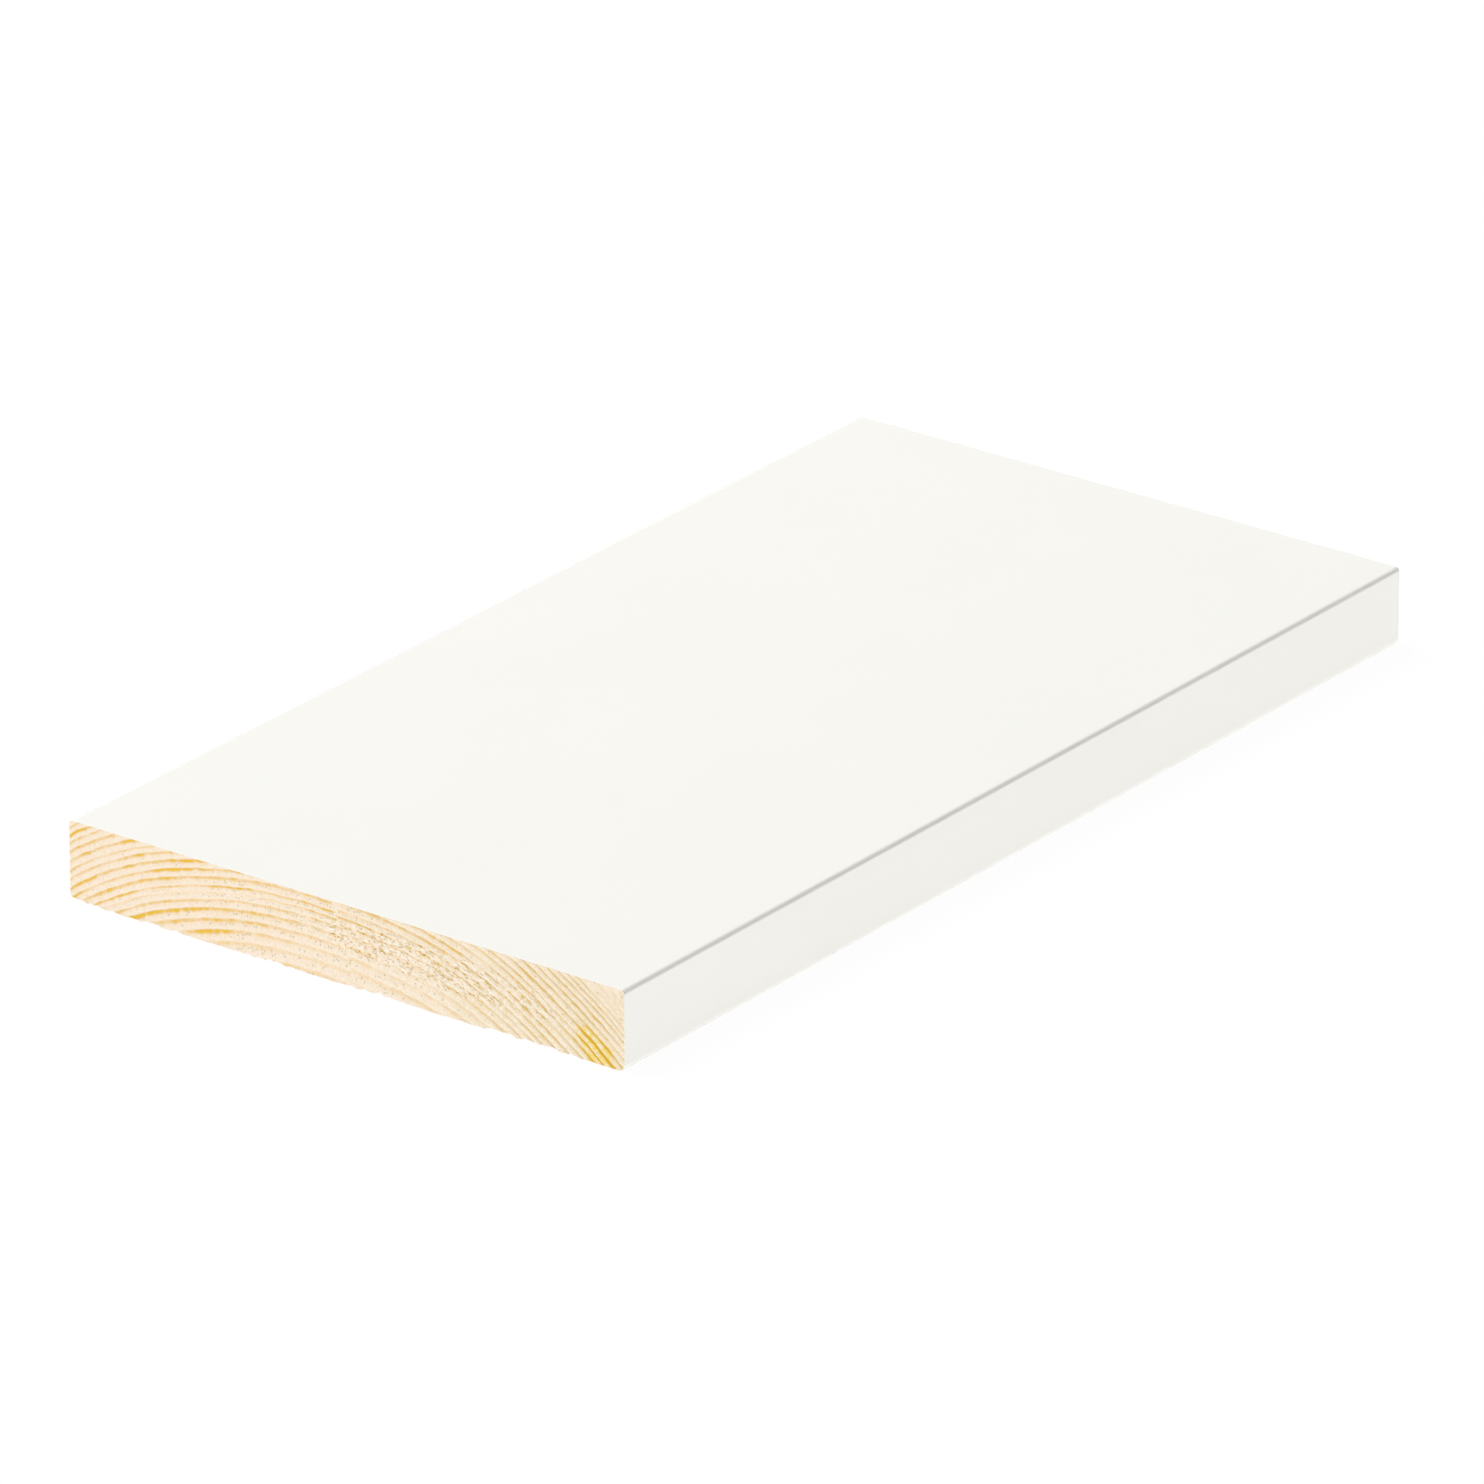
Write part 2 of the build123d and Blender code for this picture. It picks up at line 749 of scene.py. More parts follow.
@dataclass(frozen=True)
class SawnEndGrain:
    """Bare pine across the grain, as a fine saw leaves it.

    A span is the two values of a noise or of a line's strength at which an effect starts and is full.

    Attributes:
        earlywood: The pale wood of spring.
        dull_earlywood: The same wood towards the room edge.
        pores: The open ends of its fibres.
        latewood: The lines that end the years.
        dull_latewood: The same lines towards the room edge.
        strong_latewood: The strongest lines.
        broken_latewood: The lines where the saw broke them up.
        fluff: Pale fibres that it raised.
        canal: The resin canals' mouths.
        resin: Pale wood that is soaked with resin.
        resin_line: Lines that are soaked with it.
        canals: How the canals lie.
        canal_share: How much of their own colour their mouths have.
        rough: Where the saw broke the lines up.
        soaked: Where resin came out.
        depth_mm: How far both go into the wood.
        fine: The fine grain.
        blotch: The wood's blotches.
        dulling: How much the blotches and each millimetre towards the room edge dull the wood.
        dull_span: Where the wood gets dull.
        break_span: Where the fine grain breaks dull lines.
        break_up: How much it does so.
        specks: The short pieces that the saw left of the lines.
        dash_span: Where such a piece is dark.
        dash_strength: How strong a line it makes.
        torn_span: Where fibres stand up between the pieces, from full to none.
        torn_share: How pale those are.
        sparks: The golden spots in the lines.
        spark_span: Where such a spot is.
        sparked_span: How strong a line has to be to have one.
        golden_span: How strong a line has to be to be golden all over.
        dull_gold: How much less golden dull lines are.
        open_grain: How much pores and fluff show, and how much more on dull wood.
        pore_span: Where the fine grain has pores.
        fluff_span: Where it has fluff, from full to none.
        line_gain: How fast a line darkens as it gets stronger.
        line_grain: How much the fine grain changes that.
        line_full: Where a line has its full colour.
        stain: The uneven spread of the resin.
        stain_span: Where it is thick.
        resin_share: How much of the resin's colour there is where it is thin, and how much it adds.
        resin_span: How strong a line has to be to soak it up.
        roughness: How rough the end is, how much fine grain changes that and resin takes off it.
        specular: How strongly the end reflects.
        relief_mm: How far lines, fine grain, rough fine grain and canals stand out or lie in.
    """

    earlywood: Colour = srgb(242, 225, 205)
    dull_earlywood: Colour = srgb(239, 224, 200)
    pores: Colour = srgb(226, 206, 164)
    latewood: Colour = srgb(228, 188, 112)
    dull_latewood: Colour = srgb(202, 170, 106)
    strong_latewood: Colour = srgb(228, 182, 50)
    broken_latewood: Colour = srgb(188, 150, 70)
    fluff: Colour = srgb(246, 238, 226)
    canal: Colour = srgb(186, 174, 128)
    resin: Colour = srgb(236, 208, 84)
    resin_line: Colour = srgb(212, 162, 6)
    canals: ResinCanals = ResinCanals()
    canal_share: float = 0.65
    rough: Patch = Patch((-20.0, 8.4), (34.0, 4.4), 3.0)
    soaked: Patch = Patch((-54.0, 2.4), (5.2, 3.2), 37.0)
    depth_mm: float = 30.0
    fine: Ripple = Ripple((0.3, 3.2, 3.2), 3.0)
    blotch: Ripple = Ripple((0.05, 0.45, 0.45), 3.0)
    dulling: Span = (0.8, 0.012)
    dull_span: Span = (-0.3, 0.6)
    break_span: Span = (0.40, 0.62)
    break_up: float = 0.7
    specks: Ripple = Ripple((1.6, 3.0, 0.1))
    dash_span: Span = (0.57, 0.66)
    dash_strength: float = 0.45
    torn_span: Span = (0.36, 0.46)
    torn_share: float = 0.8
    sparks: Ripple = Ripple((1.1, 1.3, 0.1))
    spark_span: Span = (0.50, 0.64)
    sparked_span: Span = (0.08, 0.3)
    golden_span: Span = (0.45, 0.95)
    dull_gold: float = 0.5
    open_grain: Span = (0.3, 0.25)
    pore_span: Span = (0.48, 0.66)
    fluff_span: Span = (0.34, 0.54)
    line_gain: float = 1.2
    line_grain: float = 0.3
    line_full: float = 0.95
    stain: Ripple = Ripple((0.2, 1.3, 1.3))
    stain_span: Span = (0.40, 0.62)
    resin_share: Span = (0.15, 0.75)
    resin_span: Span = (0.12, 0.24)
    roughness: tuple[float, float, float] = (0.72, 0.2, 0.15)
    specular: float = 0.25
    relief_mm: tuple[float, float, float, float] = (0.03, 0.03, 0.05, 0.05)

    def build(self, rings: Tree, near_end: float) -> Material:
        """Builds the material.

        Args:
            rings: The growth rings' shader group.
            near_end: The near end's place along X.

        Returns:
            The material.
        """
        material, graph, shader, place = new_material("sawn_pine_end")
        x, y, z = graph.millimetres(place)
        along = x - near_end / MM
        wood = graph.use(rings, place)
        fine = self.fine.read(graph, x, y, z)
        blotch = self.blotch.read(graph, x, y, z)
        near = 1.0 - along.ramp(0.0, self.depth_mm)
        rough = self.rough.mask(y, z, blotch) * near
        soaked = self.soaked.mask(y, z, blotch) * near
        by_blotch, by_mm = self.dulling
        dull = ((blotch - NOISE_MIDDLE) * by_blotch - y * by_mm).ramp(*self.dull_span)
        specks = self.specks.read(graph, wood["Arc"], wood["Radius"], x)
        dashes = specks.ramp(*self.dash_span) * rough
        breaks = (fine.ramp(*self.break_span) - NOISE_MIDDLE) * self.break_up
        line = wood["Latewood"] * (1.0 - dull * breaks) + dashes * self.dash_strength
        line = line.math("MINIMUM", 1.0)
        pale = self._pale(graph, fine, dull)
        dark = self._dark(graph, wood, x, line, dull)
        dark = graph.blend(dashes, dark, self.broken_latewood)
        share = line * self.line_gain + (fine - NOISE_MIDDLE) * self.line_grain
        colour = graph.blend(share.ramp(0.0, self.line_full, False), pale, dark)
        torn = (1.0 - specks.ramp(*self.torn_span)) * rough
        colour = graph.blend(torn * self.torn_share, colour, self.fluff)
        canals = self.canals.mask(wood, along, y, blotch)
        colour = graph.blend(canals * self.canal_share, colour, self.canal)
        stain = self.stain.read(graph, x, y, z).ramp(*self.stain_span)
        thin, thick = self.resin_share
        colour = graph.blend(soaked * (thin + thick * stain), colour, self.resin)
        colour = graph.blend(soaked * line.ramp(*self.resin_span), colour, self.resin_line)
        graph.feed(shader.inputs["Base Color"], colour)
        usual, by_grain, by_resin = self.roughness
        roughness = usual + (fine - NOISE_MIDDLE) * by_grain - soaked * by_resin
        graph.feed(shader.inputs["Roughness"], roughness)
        shader.inputs["Specular IOR Level"].default_value = self.specular
        line_mm, fine_mm, rough_mm, canal_mm = self.relief_mm
        height = line * line_mm + fine * (fine_mm + rough * rough_mm) - canals * canal_mm
        add_relief(graph, shader, height)
        return material

    def _pale(self, graph: Graph, fine: Field, dull: Field) -> Socket:
        """Mixes the colour of the wood between the lines.

        Args:
            graph: The graph of the material's nodes.
            fine: The noise of the fine grain.
            dull: How dull the wood is.

        Returns:
            The output that holds the colour.
        """
        everywhere, on_dull = self.open_grain
        shown = everywhere + on_dull * dull
        pale = graph.blend(dull, self.earlywood, self.dull_earlywood)
        pale = graph.blend(fine.ramp(*self.pore_span) * shown, pale, self.pores)
        return graph.blend((1.0 - fine.ramp(*self.fluff_span)) * shown, pale, self.fluff)

    def _dark(
        self,
        graph: Graph,
        wood: dict[str, Field],
        x: Field,
        line: Field,
        dull: Field,
    ) -> Socket:
        """Mixes the colour of the lines.

        Args:
            graph: The graph of the material's nodes.
            wood: The growth rings' outputs.
            x: The place along the board, in millimetres.
            line: How strong the lines are.
            dull: How dull the wood is.

        Returns:
            The output that holds the colour.
        """
        sparks = self.sparks.read(graph, wood["Arc"], wood["Age"], x).ramp(*self.spark_span)
        golden = line.ramp(*self.golden_span)
        golden = golden.math("MAXIMUM", sparks * line.ramp(*self.sparked_span))
        dark = graph.blend(dull, self.latewood, self.dull_latewood)
        return graph.blend(golden * (1.0 - self.dull_gold * dull), dark, self.strong_latewood)


@dataclass(frozen=True)
class PlanedBack:
    """Bare planed pine along the grain, with paint that runs a little round its arrises.

    Attributes:
        earlywood: The pale wood of spring.
        latewood: The lines that end the years.
        fibre: The fine streaks of the fibres.
        cloud: The wide soft patches in the wood.
        line_shares: How much lines, streaks and patches darken the wood.
        line_full: Where a line has its full colour.
        paint: The colour of the paint that laps round from the edges.
        lap_mm: How high above the back the paint ends.
        lap_rim_mm: How far up from there it takes to cover the wood.
        ragged: The unevenness of its end.
        ragged_mm: How far that moves it.
        roughness: How rough the wood is, how much streaks change that and paint takes off it.
        planer_mm: How far apart the planer's marks are.
        relief_mm: How high lines, streaks, the planer's marks and paint stand.
    """

    earlywood: Colour = srgb(244, 222, 182)
    latewood: Colour = srgb(216, 164, 92)
    fibre: Ripple = Ripple((0.05, 2.5, 2.5), 4.0)
    cloud: Ripple = Ripple((0.01, 0.06, 0.06))
    line_shares: tuple[float, float, float] = (1.2, 0.45, 0.2)
    line_full: float = 0.9
    paint: Colour = SatinPaint.colour
    lap_mm: float = 0.30
    lap_rim_mm: float = 0.15
    ragged: Ripple = Ripple((0.35, 0.35, 0.35), 3.0)
    ragged_mm: float = 0.5
    roughness: tuple[float, float, float] = (0.62, 0.15, 0.18)
    planer_mm: float = 1.8
    relief_mm: tuple[float, float, float, float] = (0.02, 0.02, 0.002, 0.05)

    def build(self, rings: Tree) -> Material:
        """Builds the material.

        Args:
            rings: The growth rings' shader group.

        Returns:
            The material.
        """
        material, graph, shader, place = new_material("planed_pine_back")
        x, y, z = graph.millimetres(place)
        line = graph.use(rings, place)["Latewood"]
        fibre = self.fibre.read(graph, x, y, z)
        by_line, by_fibre, by_cloud = self.line_shares
        streaks = (fibre - NOISE_MIDDLE) * by_fibre
        share = line * by_line + streaks + self.cloud.sway(graph, x, y, z) * by_cloud
        bare = graph.blend(share.ramp(0.0, self.line_full, False), self.earlywood, self.latewood)
        height = z + self.ragged.sway(graph, x, y, z) * self.ragged_mm
        painted = height.ramp(self.lap_mm, self.lap_mm + self.lap_rim_mm)
        graph.feed(shader.inputs["Base Color"], graph.blend(painted, bare, self.paint))
        usual, by_streak, by_paint = self.roughness
        roughness = usual + (fibre - NOISE_MIDDLE) * by_streak - by_paint * painted
        graph.feed(shader.inputs["Roughness"], roughness)
        planed = (x * (math.tau / self.planer_mm)).math("SINE")
        line_mm, fibre_mm, planed_mm, paint_mm = self.relief_mm
        relief = line * line_mm + fibre * fibre_mm + planed * planed_mm + painted * paint_mm
        add_relief(graph, shader, relief)
        return material


@dataclass
class BoardTree:
    """The geometry tree that makes the board out of a cube of steps.

    Attributes:
        rings: The growth rings' geometry group.
        on_side: How far from the middle of the unit cube a step on its side lies, at least.
        whole: The share of a face's corners that lie on a side where all of them do, at least.
        saw_waves: How many waves the saw's marks have to a millimetre along the board, across it,
            and up the end, aslant and straight.
        saw_layers: How many finer layers the marks have.
        rough: The fine roughness of the ends.
        relief_shares: How much of the ends' relief is soft wood, saw marks and roughness.
        chips: The chips that the saw tore off the lower rims.
        chip_span: The values of that noise at which a chip starts and is full.
        stretches: The stretches of the rims with many chips.
        stretch_span: The values of that noise at which a stretch starts and is full.
        least_torn: How much of their depth the chips have outside those.
        chip_rise_mm: How far up the end a chip goes.
        chip_reach_mm: The distances from the end between which a chip runs out along the back.
        strips: The heights of the UV map's strips for an end, an edge, the back and the face.
        strip_gap: The gap between strips.
        sharp: The least angle between two faces with a sharp edge.
    """

    rings: Tree
    on_side: float = 0.4999
    whole: float = 0.9999
    saw_waves: tuple[float, float, float, float] = (0.1, 0.55, 0.12, 0.03)
    saw_layers: float = 2.0
    rough: Ripple = Ripple((0.1, 1.1, 1.1))
    relief_shares: tuple[float, float, float] = (0.5, 0.3, 0.5)
    chips: Ripple = Ripple((0.02, 0.42, 0.0), 2.5)
    chip_span: Span = (0.36, 0.66)
    stretches: Ripple = Ripple((0.02, 0.08, 0.0), 1.0, 5.0)
    stretch_span: Span = (0.40, 0.60)
    least_torn: float = 0.15
    chip_rise_mm: float = 3.5
    chip_reach_mm: Span = (0.2, 2.0)
    strips: tuple[float, float, float, float] = (0.13, 0.045, 0.36, 0.23)
    strip_gap: float = 0.008
    sharp: float = math.radians(50.0)

    def __post_init__(self) -> None:
        """Starts the tree with its named inputs, its output and the cube."""
        self.tree = bpy.data.node_groups.new("planed_board", TreeKind.GEOMETRY.value)
        lengths = ("Length", "Width", "Thickness", "Face Arris", "Back Arris", "Relief", "Tear Out")
        counts = ("Steps Along", "Steps Across", "Steps Through", "Arris Steps")
        for names, kind in (
            (lengths, SocketKind.VALUE),
            (counts, SocketKind.COUNT),
            (("Paint", "End Grain", "Back"), SocketKind.MATERIAL),
        ):
            for name in names:
                self.tree.interface.new_socket(name, in_out="INPUT", socket_type=kind.value)
        self.tree.interface.new_socket("Board", in_out="OUTPUT", socket_type=SocketKind.GEOMETRY.value)
        self.graph = Graph(self.tree)
        outputs = self.graph.node("NodeGroupInput").outputs
        self.given = {socket.name: Field(self.graph, socket) for socket in outputs if socket.name}
        self.cube, self.step = self._stepped_cube()
        self.ends = self.step[0].math("ABSOLUTE").math("GREATER_THAN", self.on_side)

    def build(self) -> Tree:
        """Builds the tree.

        Returns:
            The tree.
        """
        mesh = self._torn(self._sawn(self._shaped(self.cube)))
        mesh = self._finished(self._mapped(mesh))
        self.graph.node("NodeGroupOutput", {"Board": mesh})
        return self.tree

    def _stepped_cube(self) -> tuple[Socket, tuple[Field, ...]]:
        """Makes a unit cube whose vertices keep their places in it.

        Returns:
            The cube, and the place of each vertex in it, from -0.5 to 0.5 each way.
        """
        graph, given = self.graph, self.given
        ways = {"X": "Along", "Y": "Across", "Z": "Through"}
        corners = {f"Vertices {axis}": given[f"Steps {way}"] + 1.0 for axis, way in ways.items()}
        cube = graph.node("GeometryNodeMeshCube", corners).outputs["Mesh"]
        held = graph.node("GeometryNodeCaptureAttribute", {"Geometry": cube})
        held.capture_items.new("VECTOR", "Step")
        graph.feed(held.inputs["Step"], self._position())
        return held.outputs["Geometry"], graph.parts(held.outputs["Step"])

    def _position(self) -> Socket:
        """Reads the place of each vertex as the mesh stands."""
        return self.graph.node("GeometryNodeInputPosition").outputs["Position"]

    def _shaped(self, mesh: Socket) -> Socket:
        """Gives the cube the board's length and its section with eased arrises.

        Args:
            mesh: The cube.

        Returns:
            The shaped mesh.
        """
        given, step = self.given, self.step
        quarter = math.pi / 2
        arris = given["Arris Steps"] / given["Steps Through"]
        rise = step[2] + 0.5
        back_turn = rise.ramp(0.0, arris, False) * quarter
        face_turn = rise.ramp(1.0 - arris, 1.0, False) * quarter
        straight = given["Thickness"] - given["Back Arris"] - given["Face Arris"]
        z = (
            given["Back Arris"] * (1.0 - back_turn.math("COSINE"))
            + straight * rise.ramp(arris, 1.0 - arris, False)
            + given["Face Arris"] * face_turn.math("SINE")
        )
        half = (
            given["Width"] * 0.5
            - given["Back Arris"] * (1.0 - back_turn.math("SINE"))
            - given["Face Arris"] * (1.0 - face_turn.math("COSINE"))
        )
        # Steps along the board are finer towards its ends
        inner = 1.0 - 2.0 * step[0].math("ABSOLUTE")
        x = step[0].math("SIGN") * given["Length"] * 0.5 * (1.0 - inner * inner)
        place = self.graph.vector(x, step[1] * 2.0 * half, z)
        return self.graph.work("GeometryNodeSetPosition", mesh, {"Position": place})

    def _sawn(self, mesh: Socket) -> Socket:
        """Sinks the soft wood and the saw's marks into both ends.

        Args:
            mesh: The shaped board.

        Returns:
            The mesh with its sawn ends.
        """
        graph, position = self.graph, self._position()
        x, y, z = graph.millimetres(position)
        along, across, aslant, up = self.saw_waves
        marks = graph.vector(x * along, y * across + z * aslant, z * up)
        by_wood, by_saw, by_rough = self.relief_shares
        depth = (
            graph.use(self.rings, position)["Hollow"] * by_wood
            + graph.noise(marks, self.saw_layers) * by_saw
            + self.rough.read(graph, x, y, z) * by_rough
        )
        inwards = self.step[0].math("SIGN") * self.ends * depth * self.given["Relief"] * -1.0
        offset = graph.vector(inwards, 0.0, 0.0)
        return graph.work("GeometryNodeSetPosition", mesh, {"Offset": offset})

    def _torn(self, mesh: Socket) -> Socket:
        """Tears small chips off the lower rim of both ends.

        Args:
            mesh: The board with its sawn ends.

        Returns:
            The mesh with its torn rims.
        """
        graph = self.graph
        x, y, z = graph.millimetres(self._position())
        from_end = self.given["Length"] * (0.5 / MM) - x.math("ABSOLUTE")
        low = 1.0 - z.ramp(0.0, self.chip_rise_mm)
        chips = self.chips.read(graph, x, y, z).ramp(*self.chip_span)
        many = self.stretches.read(graph, x, y, z).ramp(*self.stretch_span)
        torn = self.least_torn + (1.0 - self.least_torn) * many
        lift = chips * torn * low * (1.0 - from_end.ramp(*self.chip_reach_mm))
        offset = graph.vector(0.0, 0.0, lift * self.given["Tear Out"])
        return graph.work("GeometryNodeSetPosition", mesh, {"Offset": offset})

    def _mapped(self, mesh: Socket) -> Socket:
        """Lays the six sides out on a UV map, one strip each.

        Args:
            mesh: The finished shape.

        Returns:
            The mesh with its UV map.
        """
        graph, given, step = self.graph, self.given, self.step
        x, y, _ = graph.parts(self._position())
        along = x / given["Length"] + 0.5
        across = y / given["Width"] + 0.5
        rise = step[2] + 0.5
        end, edge, back, face = self.strips
        strips = (
            (step[0] * -1.0, across, rise, end),
            (step[0], across, rise, end),
            (step[1] * -1.0, along, rise, edge),
            (step[1], along, rise, edge),
            (step[2] * -1.0, along, across, back),
            (step[2], along, across, face),
        )
        gap = self.strip_gap
        start, u, v = gap, 0.0, 0.0
        for outward, across_strip, up_strip, height in strips:
            on_side = outward.math("GREATER_THAN", self.on_side)
            side = graph.node("GeometryNodeFieldOnDomain", {"Value": on_side}, domain="FACE")
            here = Field(graph, side.outputs["Value"]).math("GREATER_THAN", self.whole)
            u = u + here * (gap + across_strip * (1.0 - 2.0 * gap))
            v = v + here * (start + up_strip * height)
            start += height + gap
        return graph.work(
            "GeometryNodeStoreNamedAttribute",
            mesh,
            {"Name": "OFBake", "Value": graph.vector(u, v, 0.0)},
            data_type="FLOAT2",
            domain="CORNER",
        )

    def _finished(self, mesh: Socket) -> Socket:
        """Shades the board, with sharp rims at the saw cuts, and gives each side its finish.

        Args:
            mesh: The finished shape with its UV map.

        Returns:
            The finished board.
        """
        graph, given = self.graph, self.given
        angle = graph.node("GeometryNodeInputMeshEdgeAngle").outputs["Unsigned Angle"]
        soft = Field(graph, angle).math("LESS_THAN", self.sharp)
        mesh = graph.work("GeometryNodeSetShadeSmooth", mesh, {"Shade Smooth": soft}, domain="EDGE")
        mesh = graph.work("GeometryNodeRealizeInstances", mesh)
        bare_rise = given["Arris Steps"] / given["Steps Through"] - 0.5
        finishes = {
            "Paint": True,
            "Back": self.step[2].math("LESS_THAN", bare_rise),
            "End Grain": self.ends,
        }
        for name, chosen in finishes.items():
            sockets = {"Selection": chosen, "Material": given[name]}
            mesh = graph.work("GeometryNodeSetMaterial", mesh, sockets)
        return mesh


@dataclass
class RevealBoard:
    """The board: a planed section run between two saw cuts.

    Attributes:
        low: The lowest corner of the CAD board.
        high: Its highest corner.
        face_arris: The radius of the two painted arrises.
        back_arris: The radius of the two arrises of the back.
        steps: How many steps the mesh has along, across and through the board.
        arris_steps: How many of the steps through it go to each arris.
        relief: How deep the saw and the soft wood leave the ends uneven.
        tear_out: How far the saw tore fibres off the lower rims.
    """

    low: Vector
    high: Vector
    face_arris: float = 0.8 * MM
    back_arris: float = 1.2 * MM
    steps: tuple[int, int, int] = (40, 420, 56)
    arris_steps: int = 8
    relief: float = 0.10 * MM
    tear_out: float = 0.5 * MM

    def build(self, finishes: dict[str, Material], rings: Tree) -> bpy.types.Object:
        """Makes the board as a plain mesh.

        Args:
            finishes: The materials, by the names of the tree's inputs.
            rings: The growth rings' geometry group.

        Returns:
            The board's object, at the origin.
        """
        board = bpy.data.objects.new("painted_board", bpy.data.meshes.new("painted_board"))
        bpy.context.scene.collection.objects.link(board)
        modifier = board.modifiers.new("planed_board", "NODES")
        modifier.node_group = BoardTree(rings).build()
        size = self.high - self.low
        values = {
            "Length": size.x,
            "Width": size.y,
            "Thickness": size.z,
            "Face Arris": self.face_arris,
            "Back Arris": self.back_arris,
            "Steps Along": self.steps[0],
            "Steps Across": self.steps[1],
            "Steps Through": self.steps[2],
            "Arris Steps": self.arris_steps,
            "Relief": self.relief,
            "Tear Out": self.tear_out,
            **finishes,
        }
        for item in modifier.node_group.interface.items_tree:
            if item.in_out == "INPUT":
                modifier[item.identifier] = values[item.name]
        shaped = board.evaluated_get(bpy.context.evaluated_depsgraph_get())
        mesh = bpy.data.meshes.new_from_object(shaped)
        board.modifiers.remove(modifier)
        # The tree's cube starts with an empty slot, which no face uses
        mesh.materials.pop(index=0)
        board.data = mesh
        return board

    def dress(self, board: bpy.types.Object) -> None:
        """Sets the board in the frame, in the place of its CAD solid.

        Args:
            board: The board's object.
        """
        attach(board, BODY)
        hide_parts(NODE)


@dataclass(frozen=True)
class SoftLamp:
    """A wide soft lamp that stands far off.

    Attributes:
        name: What it is for.
        azimuth: Where it stands round the board, in degrees.
        elevation: How high it stands, in degrees.
        spread: How wide it looks from the board, in degrees.
        level: How bright a white surface that faces it becomes, where 1 is white.
        distance: How far off it stands.
    """

    name: str
    azimuth: float
    elevation: float
    spread: float
    level: float
    distance: float = 5.0

    def build(self) -> None:
        """Adds the lamp to the scene."""
        lamp = bpy.data.lights.new(self.name, "AREA")
        lamp.shape = "DISK"
        half = math.radians(self.spread) / 2
        lamp.size = 2.0 * self.distance * math.tan(half)
        # At level 1, a disk of this power lights a white surface that faces it to white
        lamp.energy = self.level * (math.pi * self.distance / math.cos(half)) ** 2
        item = bpy.data.objects.new(self.name, lamp)
        facing = towards(self.azimuth, self.elevation)
        item.location = facing * self.distance
        item.rotation_euler = facing.to_track_quat("Z", "Y").to_euler()
        # Reflections show the white studio round the lamp instead of its glare
        item.visible_glossy = False
        bpy.context.scene.collection.objects.link(item)


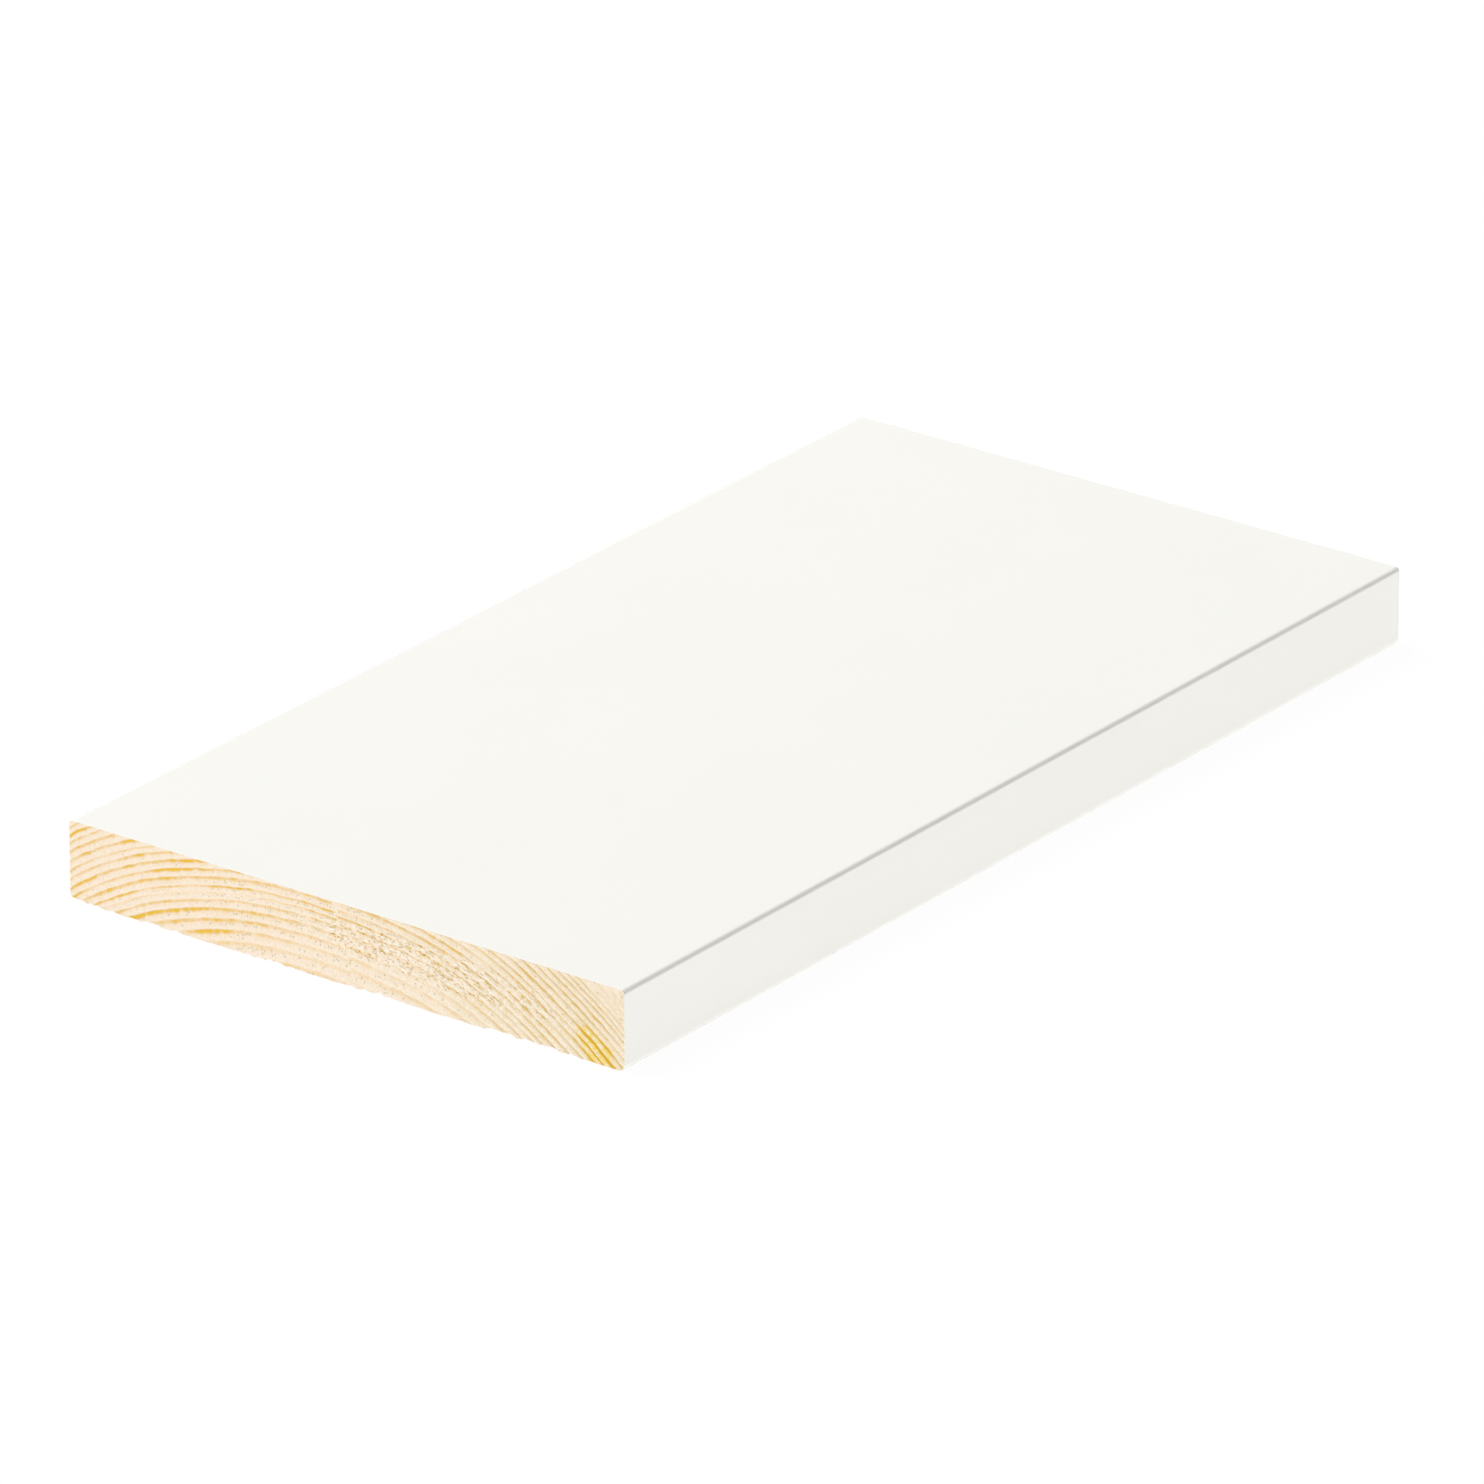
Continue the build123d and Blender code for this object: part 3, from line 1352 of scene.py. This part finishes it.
@dataclass(frozen=True)
class Studio:
    """A plain white studio: floor, soft lamps, white surroundings and the camera.

    Attributes:
        high: The board's highest corner.
        lamps: The lamps.
        ambient: How bright the surroundings are as light on the board.
        floor_light: How bright the floor is as light on the board, round it and right behind it.
        rear_across: The places across the board between which the floor goes over to the second.
        rear_along: The places along it, both ways, between which the floor goes back to the first.
        foot: The distances out from a long edge between which the floor goes from dark to light.
        foot_light: How much of its light the floor keeps where it is dark.
        under_light: How bright the floor is under the board, as light on its back.
        under_rim: The distances in from its long edges between which the floor goes over to that.
        floor_reach: How far the floor runs from the board.
        floor_drop: How far below the board the floor lies.
        shadow: How much of what the camera sees of the floor is light that falls on it.
        floor_level: How bright the camera sees the floor where nothing shades it.
        camera_azimuth: Where the camera stands round the board, in degrees.
        camera_elevation: How high it stands, in degrees.
        camera_distance: How far it stands from the middle of the back.
        aim_shift: How far right of and below that point it is aimed.
        lens_pixels: The focal length, in pixels of the photograph.
    """

    high: Vector
    lamps: tuple[SoftLamp, ...] = (
        SoftLamp("high_back_key", azimuth=-170.0, elevation=61.0, spread=42.0, level=1.09),
        SoftLamp("left_fill", azimuth=-90.0, elevation=4.0, spread=40.0, level=0.06),
        SoftLamp("right_fill", azimuth=90.0, elevation=4.0, spread=40.0, level=0.18),
    )
    ambient: float = 0.03
    floor_light: Span = (1.85, 0.20)
    rear_across: Span = (20.0 * MM, 100.0 * MM)
    rear_along: Span = (106.0 * MM, 118.0 * MM)
    foot: Span = (-0.4 * MM, 1.1 * MM)
    foot_light: float = 0.3
    under_light: float = 1.0
    under_rim: Span = (0.6 * MM, 1.6 * MM)
    floor_reach: float = 6.0
    floor_drop: float = 0.05 * MM
    shadow: float = 0.04
    floor_level: float = 1.005
    camera_azimuth: float = -53.27
    camera_elevation: float = 23.38
    camera_distance: float = 2.754
    aim_shift: Span = (-0.84 * MM, -4.89 * MM)
    lens_pixels: float = 15642.0

    def build(self) -> None:
        """Adds the whole studio to the scene."""
        for lamp in self.lamps:
            lamp.build()
        self._surroundings()
        self._floor()
        self._camera()
        bpy.context.scene.view_settings.view_transform = "Standard"

    def _white_rays(self, graph: Graph) -> Field:
        """Picks the rays that show the studio as white.

        Args:
            graph: The graph of the material or the world.

        Returns:
            A mask that is 1 for the camera's view, reflections and what shows through.
        """
        rays = graph.node("ShaderNodeLightPath").outputs
        seen = Field(graph, rays["Is Camera Ray"])
        seen = seen.math("MAXIMUM", Field(graph, rays["Is Glossy Ray"]))
        return seen.math("MAXIMUM", Field(graph, rays["Is Transmission Ray"]))

    def _surroundings(self) -> None:
        """Makes the world white to look at and dim as light."""
        world = bpy.data.worlds.new("white_studio")
        world.use_nodes = True
        world.node_tree.nodes.clear()
        graph = Graph(world.node_tree)
        strength = self.ambient + (1.0 - self.ambient) * self._white_rays(graph)
        sky = graph.node("ShaderNodeBackground", {"Strength": strength, "Color": WHITE})
        graph.node("ShaderNodeOutputWorld", {"Surface": sky.outputs["Background"]})
        bpy.context.scene.world = world

    def _floor(self) -> None:
        """Lays a pale floor that looks white and keeps the board's shadow."""
        reach, drop = self.floor_reach, -self.floor_drop
        mesh = bpy.data.meshes.new("studio_floor")
        corners = [(x * reach, y * reach, drop) for x, y in ((-1, -1), (1, -1), (1, 1), (-1, 1))]
        mesh.from_pydata(corners, [], [(0, 1, 2, 3)])
        mesh.materials.append(self._floor_finish())
        floor = bpy.data.objects.new("studio_floor", mesh)
        bpy.context.scene.collection.objects.link(floor)

    def _floor_finish(self) -> Material:
        """Builds the floor's material.

        Returns:
            The material.
        """
        material = bpy.data.materials.new("pale_floor")
        material.use_nodes = True
        material.node_tree.nodes.clear()
        graph = Graph(material.node_tree)
        lit = graph.node("ShaderNodeEmission", {"Strength": self._bounce(graph)})
        grey = (self.shadow, self.shadow, self.shadow, 1.0)
        caught = graph.node("ShaderNodeBsdfDiffuse", {"Color": grey})
        from_lamps = sum(lamp.level * math.sin(math.radians(lamp.elevation)) for lamp in self.lamps)
        fallen = self.shadow * (from_lamps + self.ambient)
        glow = graph.node("ShaderNodeEmission", {"Strength": self.floor_level - fallen})
        shown = graph.node("ShaderNodeAddShader")
        graph.feed(shown.inputs[0], caught.outputs["BSDF"])
        graph.feed(shown.inputs[1], glow.outputs["Emission"])
        mixed = graph.node("ShaderNodeMixShader", {"Fac": self._white_rays(graph)})
        graph.feed(mixed.inputs[1], lit.outputs["Emission"])
        graph.feed(mixed.inputs[2], shown.outputs["Shader"])
        # From below, the floor lets the view through to the board's back
        below = graph.node("ShaderNodeNewGeometry").outputs["Backfacing"]
        one_sided = graph.node("ShaderNodeMixShader", {"Fac": below})
        graph.feed(one_sided.inputs[1], mixed.outputs["Shader"])
        graph.feed(one_sided.inputs[2], graph.node("ShaderNodeBsdfTransparent").outputs["BSDF"])
        graph.node("ShaderNodeOutputMaterial", {"Surface": one_sided.outputs["Shader"]})
        return material

    def _bounce(self, graph: Graph) -> Field:
        """Works out how bright the floor is as light on the board.

        Args:
            graph: The graph of the floor's material.

        Returns:
            The brightness, where 1 is white.
        """
        x, y, _ = graph.parts(graph.node("ShaderNodeTexCoord").outputs["Object"])
        front, rear = self.floor_light
        aside, out = x.math("ABSOLUTE"), y.math("ABSOLUTE") - self.high.y
        behind = y.ramp(*self.rear_across) * (1.0 - aside.ramp(*self.rear_along))
        is_open = out.ramp(*self.foot).math("MAXIMUM", aside.math("GREATER_THAN", self.high.x))
        share = self.foot_light + (1.0 - self.foot_light) * is_open
        around = (front + (rear - front) * behind) * share
        inside = (0.0 - out).ramp(*self.under_rim) * aside.math("LESS_THAN", self.high.x)
        return around + (self.under_light - around) * inside

    def _camera(self) -> None:
        """Sets the camera where the photograph was taken from."""
        back = towards(self.camera_azimuth, self.camera_elevation)
        right = Vector((0.0, 0.0, 1.0)).cross(back).normalized()
        up = back.cross(right)
        lens = bpy.data.cameras.new("camera")
        lens.sensor_width = SENSOR_MM
        lens.lens = self.lens_pixels * SENSOR_MM / PHOTO_PIXELS
        camera = bpy.data.objects.new("camera", lens)
        aside, below = self.aim_shift
        camera.location = back * self.camera_distance + right * aside - up * below
        camera.rotation_euler = back.to_track_quat("Z", "Y").to_euler()
        bpy.context.scene.collection.objects.link(camera)
        bpy.context.scene.camera = camera


def main() -> None:
    """Builds the studio, the finishes and the board, and reports each piece."""
    logging.basicConfig(level=logging.INFO, format="%(name)s: %(message)s")
    low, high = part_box(NODE)
    Studio(high).build()
    rings = GrowthRings()
    shader_rings = rings.group(TreeKind.SHADER, low.x)
    finishes = {
        "Paint": SatinPaint().build(shader_rings),
        "End Grain": SawnEndGrain().build(shader_rings, low.x),
        "Back": PlanedBack().build(shader_rings),
    }
    maker = RevealBoard(low, high)
    board = maker.build(finishes, rings.group(TreeKind.GEOMETRY, low.x))
    maker.dress(board)
    LOG.info("%s: %d faces, finishes %s", board.name, len(board.data.polygons), sorted(finishes))


if __name__ == "__main__":
    main()
